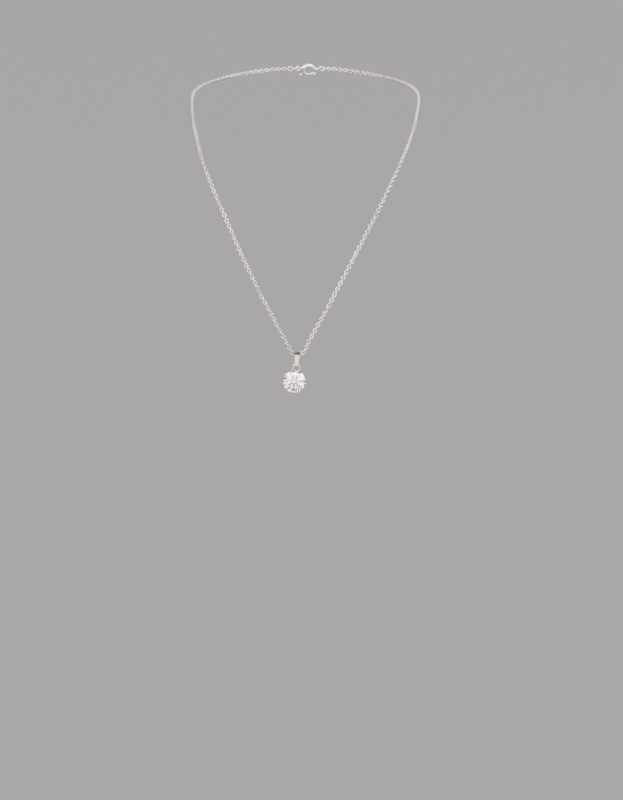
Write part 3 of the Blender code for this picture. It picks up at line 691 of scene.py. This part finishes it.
def stoneSeat():  # the stone's own shape, a hair larger, about its centre
    bm = bmesh.new()
    bm.from_mesh(frame["nodes"]["stone"].data)
    bmesh.ops.remove_doubles(bm, verts=bm.verts, dist=0.001 * mm)
    bmesh.ops.transform(bm, matrix=headPlace.inverted(), verts=bm.verts)
    bmesh.ops.scale(bm, vec=(setting["seatScale"],) * 3, verts=bm.verts)
    return meshFrom(bm, "seat")


addPiece("clawSetting", makeSetting(), headPlace, "head", rhodium, ["setting"])
frame["nodes"]["stone"].material_slots[0].material = zirconia
print("setting made")


# the lobster clasp, in its own plane: x towards the claw, z towards the lever
clasp = {
    "bossRadius": 1.35, "bossThick": 2.2, "bossAt": -2.6, "bossEdge": 0.22,
    "pivot": (-2.35, 0.25), "pinRadius": 0.3, "pinHole": 0.34, "pinProud": 0.08,
    "pinEdge": 0.06, "leverThick": 0.84, "leverTrim": 0.01, "hubRadius": 0.6, "hubEdge": 0.08,
    "slotThick": 1.0, "slotFrom": (-3.25, -0.68), "slotTo": (-0.7, 2.0),
    "eyeRadius": 0.85, "eyeWire": 0.56, "eyeAt": -4.5, "pull": -0.62,
    # x, z and radius along each wire
    "spine": ((-2.5, -0.55, 0.8), (-1.0, -1.65, 0.82), (0.8, -2.0, 0.78), (2.4, -1.75, 0.74),
              (3.6, -0.7, 0.66), (3.95, 0.45, 0.6), (3.55, 1.5, 0.5), (2.95, 1.95, 0.42)),
    "arm": ((-2.35, 0.25, 0.4), (-1.3, 1.25, 0.4), (0.2, 1.75, 0.4), (1.6, 1.62, 0.38), (2.6, 1.15, 0.34)),
    "tab": ((-2.2, 0.5, 0.34), (-2.75, 1.55, 0.34), (-3.35, 2.3, 0.42), (-3.6, 2.6, 0.4)),
    # how far short of its line the lever's arm and the claw stop, as shares of their radius; less
    # than none is past it, so that the two all but meet
    "armShort": -0.1, "tipShort": -0.2,
    "spring": ((-3.0, -0.52), (-2.0, -0.52), (-1.3, -0.48), (-0.95, -0.3), (-0.86, 0.0), (-1.0, 0.28),
               (-1.35, 0.4)),
    "springWire": 0.18, "springSteps": 48, "springSides": 10,
    "springPressed": 0.6,  # its height with the lever open, as a share
    "voxel": 0.06, "bodySmoothing": 3, "leverSmoothing": 2,
}
leverPivot = Vector(joints["lever_open"]["pos_m"]) / mm
claspMiddle = leverPivot - Vector((clasp["pivot"][0], 0, -clasp["pivot"][1]))
claspPlace = toMetres @ Matrix.Translation(claspMiddle) @ Matrix.Rotation(math.pi, 4, "X")
sideways = Vector((0, 1, 0))


def sweepLine(bm, line, shrink=0.0, short=(1, 1), count=40):
    points = [Vector((x, 0, z)) for x, z, _ in line]
    route = makeRoute(points)
    widths = [radius - shrink for _, _, radius in line]
    # the domed ends make the wire longer, so it starts and stops short by shares of its own radius
    start, end = short[0] * widths[0], route["reach"][-1] - short[1] * widths[-1]
    distances = [start + (end - start) * i / (count - 1) for i in range(count)]
    radii = [swellAt(widths, route["marks"], d) for d in distances]
    sweepWire(bm, [placeAt(route, d) for d in distances], radii, sideways)


def addDisc(bm, radius, thick, at, edge, segments=64):  # a cylinder along Y with rounded rims
    upright = Matrix.Translation((at[0], 0, at[1])) @ Matrix.Rotation(math.pi / 2, 4, "X")
    made = bmesh.ops.create_cone(
        bm, cap_ends=True, segments=segments, radius1=radius, radius2=radius, depth=thick, matrix=upright
    )["verts"]
    rims = {e for v in made for e in v.link_edges if abs(e.verts[0].co.y - e.verts[1].co.y) < 1e-6}
    if edge:
        bmesh.ops.bevel(
            bm, geom=list(rims), offset=edge, affect="EDGES", segments=3, profile=0.5, material=-1,
        )


def discMesh(radius, thick, at, edge=0.0):
    bm = bmesh.new()
    addDisc(bm, radius, thick, at, edge)
    return meshFrom(bm, "disc")


def makeClaspBody():
    bm = bmesh.new()
    addDisc(bm, clasp["bossRadius"], clasp["bossThick"], (clasp["bossAt"], 0), clasp["bossEdge"])
    sweepLine(bm, clasp["spine"], 0.0, (1, clasp["tipShort"]))
    eye = Matrix.Translation((clasp["eyeAt"], 0, clasp["pull"]))
    addTorus(bm, clasp["eyeRadius"], clasp["eyeWire"], eye)
    cast = castSmooth(meshFrom(bm, "claspBody"), clasp["voxel"], clasp["bodySmoothing"])
    half = clasp["slotThick"] / 2
    (lowX, lowZ), (highX, highZ) = clasp["slotFrom"], clasp["slotTo"]
    slotBox = boxMesh((lowX, -half, lowZ), (highX, half, highZ))
    return cutBy(cast, [slotBox, discMesh(clasp["pinHole"], 2 * clasp["bossThick"], clasp["pivot"])])


def makeLever():
    bm = bmesh.new()
    addDisc(bm, clasp["hubRadius"], clasp["leverThick"], clasp["pivot"], clasp["hubEdge"])
    sweepLine(bm, clasp["arm"], clasp["leverTrim"], (1, clasp["armShort"]))
    sweepLine(bm, clasp["tab"], clasp["leverTrim"])
    cast = castSmooth(meshFrom(bm, "lever"), clasp["voxel"], clasp["leverSmoothing"])
    return cutBy(cast, [discMesh(clasp["pinHole"], 2 * clasp["bossThick"], clasp["pivot"])])


def makeSpring():
    bm = bmesh.new()
    path = smoothLine([Vector((x, 0, z)) for x, z in clasp["spring"]], clasp["springSteps"])
    sweepWire(bm, path, [clasp["springWire"] / 2] * clasp["springSteps"], sideways, clasp["springSides"])
    return meshFrom(bm, "spring")


pinLength = clasp["bossThick"] + 2 * clasp["pinProud"]
pin = discMesh(clasp["pinRadius"], pinLength, clasp["pivot"], clasp["pinEdge"])
addPiece("claspBody", makeClaspBody(), claspPlace, "clasp", rhodium, ["clasp_body"], 60)
addPiece("claspLever", makeLever(), claspPlace, "lever", rhodium, ["clasp_lever"], 60)
addPiece("claspPin", pin, claspPlace, "clasp", steel, ["clasp_pin"], 30)
spring = addPiece("claspSpring", makeSpring(), claspPlace, "clasp", steel,
                  ["clasp_spring"], 60)
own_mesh(spring)
print("clasp made")


studio = {
    "floorBelow": 276 * mm,  # the shoulders of a display bust stand this far above the table
    "floorSize": 60.0, "floorColor": "#d7d5d3",
    "skyTop": "#e9e9e8", "skySide": "#37373b", "skyLevel": 0.5, "backdrop": "#bfbebc",
    "sunLevel": 1.9, "sunWidth": 35, "sunTurn": (42, 0, -35),
}


def makeFloor():
    bm = bmesh.new()
    bmesh.ops.create_grid(bm, x_segments=2, y_segments=2, size=studio["floorSize"] / 2)
    mesh = meshFrom(bm, "floor")
    mesh.transform(Matrix.Translation((0, 0, -studio["floorBelow"])))
    material, tree = newMaterial("matBoard")
    shader = addNode(
        tree, "ShaderNodeBsdfPrincipled",
        {"Base Color": hexToLinear(studio["floorColor"]), "Roughness": 0.7},
    )
    addNode(tree, "ShaderNodeOutputMaterial", {}, {"Surface": shader.outputs["BSDF"]})
    mesh.materials.append(material)
    floor = bpy.data.objects.new("floor", mesh)
    bpy.context.scene.collection.objects.link(floor)
    # the softboxes light the jewellery and not the floor, which stays an even tone
    unlit = bpy.data.collections.new("unlitByLamps")
    unlit.objects.link(floor)
    unlit.collection_objects[0].light_linking.link_state = "EXCLUDE"
    return unlit


def makeWorld():  # a pale ceiling over darker walls, so that bright metal has something to show
    world = bpy.data.worlds.new("studio")
    bpy.context.scene.world = world
    world.use_nodes = True
    tree = world.node_tree
    tree.nodes.clear()
    coords = addNode(tree, "ShaderNodeTexCoord", {}).outputs["Generated"]
    split = addNode(tree, "ShaderNodeSeparateXYZ", {}, {"Vector": coords})
    height = addNode(
        tree, "ShaderNodeMapRange", {"From Min": 0.0, "From Max": 0.8}, {"Value": split.outputs["Z"]},
    )
    sky = addNode(
        tree, "ShaderNodeMix",
        {"data_type": "RGBA", 6: hexToLinear(studio["skySide"]), 7: hexToLinear(studio["skyTop"])},
        {0: height.outputs["Result"]},
    )
    light = addNode(
        tree, "ShaderNodeBackground", {"Strength": studio["skyLevel"]}, {"Color": sky.outputs[2]},
    )
    # behind the jewellery is a plain backdrop of the floor's tone, so there is no horizon
    backdrop = addNode(
        tree, "ShaderNodeBackground", {"Color": hexToLinear(studio["backdrop"]), "Strength": 1.0},
    )
    path = addNode(tree, "ShaderNodeLightPath", {})
    shown = addNode(tree, "ShaderNodeMixShader", {}, {
        0: path.outputs["Is Camera Ray"], 1: light.outputs["Background"],
        2: backdrop.outputs["Background"],
    })
    addNode(tree, "ShaderNodeOutputWorld", {}, {"Surface": shown.outputs["Shader"]})


def addLight(name, kind, color, power, matrix):
    data = bpy.data.lights.new(name, kind)
    data.color = hexToLinear(color)[:3]
    data.energy = power
    light = bpy.data.objects.new(name, data)
    light.matrix_world = matrix
    light.visible_camera = False
    bpy.context.scene.collection.objects.link(light)
    return light


def facing(place, target):
    turn = (Vector(target) - Vector(place)).to_track_quat("-Z", "Y").to_matrix().to_4x4()
    return Matrix.Translation(place) @ turn


softboxes = (  # place, size, power and colour
    ("keySoftbox", (-0.6, -0.8, 0.5), (0.6, 0.7), 20.0, "#fff0e2"),
    ("fillSoftbox", (0.75, -0.6, 0.15), (0.4, 0.7), 11.0, "#e9efff"),
    ("topSoftbox", (0.1, 0.0, 0.8), (0.7, 0.5), 8.0, "#ffffff"),
    ("backSoftbox", (-0.3, 0.8, 0.4), (0.6, 0.5), 8.0, "#ffffff"),
    ("frontSoftbox", (0.1, -1.35, 0.4), (0.9, 0.5), 14.0, "#ffffff"),
    ("lowCard", (0.0, -0.24, -0.25), (0.4, 0.3), 1.0, "#ffe8dd"),
)
camera = {"place": (2.45 * mm, -930 * mm, 65.7 * mm), "pitch": 12.3, "focal": 93.7, "sensor": 36}

unlit = makeFloor()
makeWorld()
for name, place, size, power, color in softboxes:
    lamp = addLight(name, "AREA", color, power, facing(place, (0, -0.06, -0.08)))
    lamp.data.shape = "RECTANGLE"
    lamp.data.size, lamp.data.size_y = size
    lamp.light_linking.receiver_collection = unlit
sunTurn = Euler([math.radians(a) for a in studio["sunTurn"]]).to_matrix().to_4x4()
skylight = addLight("skylight", "SUN", "#fffaf4", studio["sunLevel"], sunTurn)
skylight.data.angle = math.radians(studio["sunWidth"])
cameraData = bpy.data.cameras.new("camera")
cameraData.lens, cameraData.sensor_width = camera["focal"], camera["sensor"]
cameraData.clip_end = 100
cameraObject = bpy.data.objects.new("camera", cameraData)
cameraObject.location = camera["place"]
cameraObject.rotation_euler = (math.radians(90 - camera["pitch"]), 0, 0)
bpy.context.scene.collection.objects.link(cameraObject)
bpy.context.scene.camera = cameraObject
print("studio made")
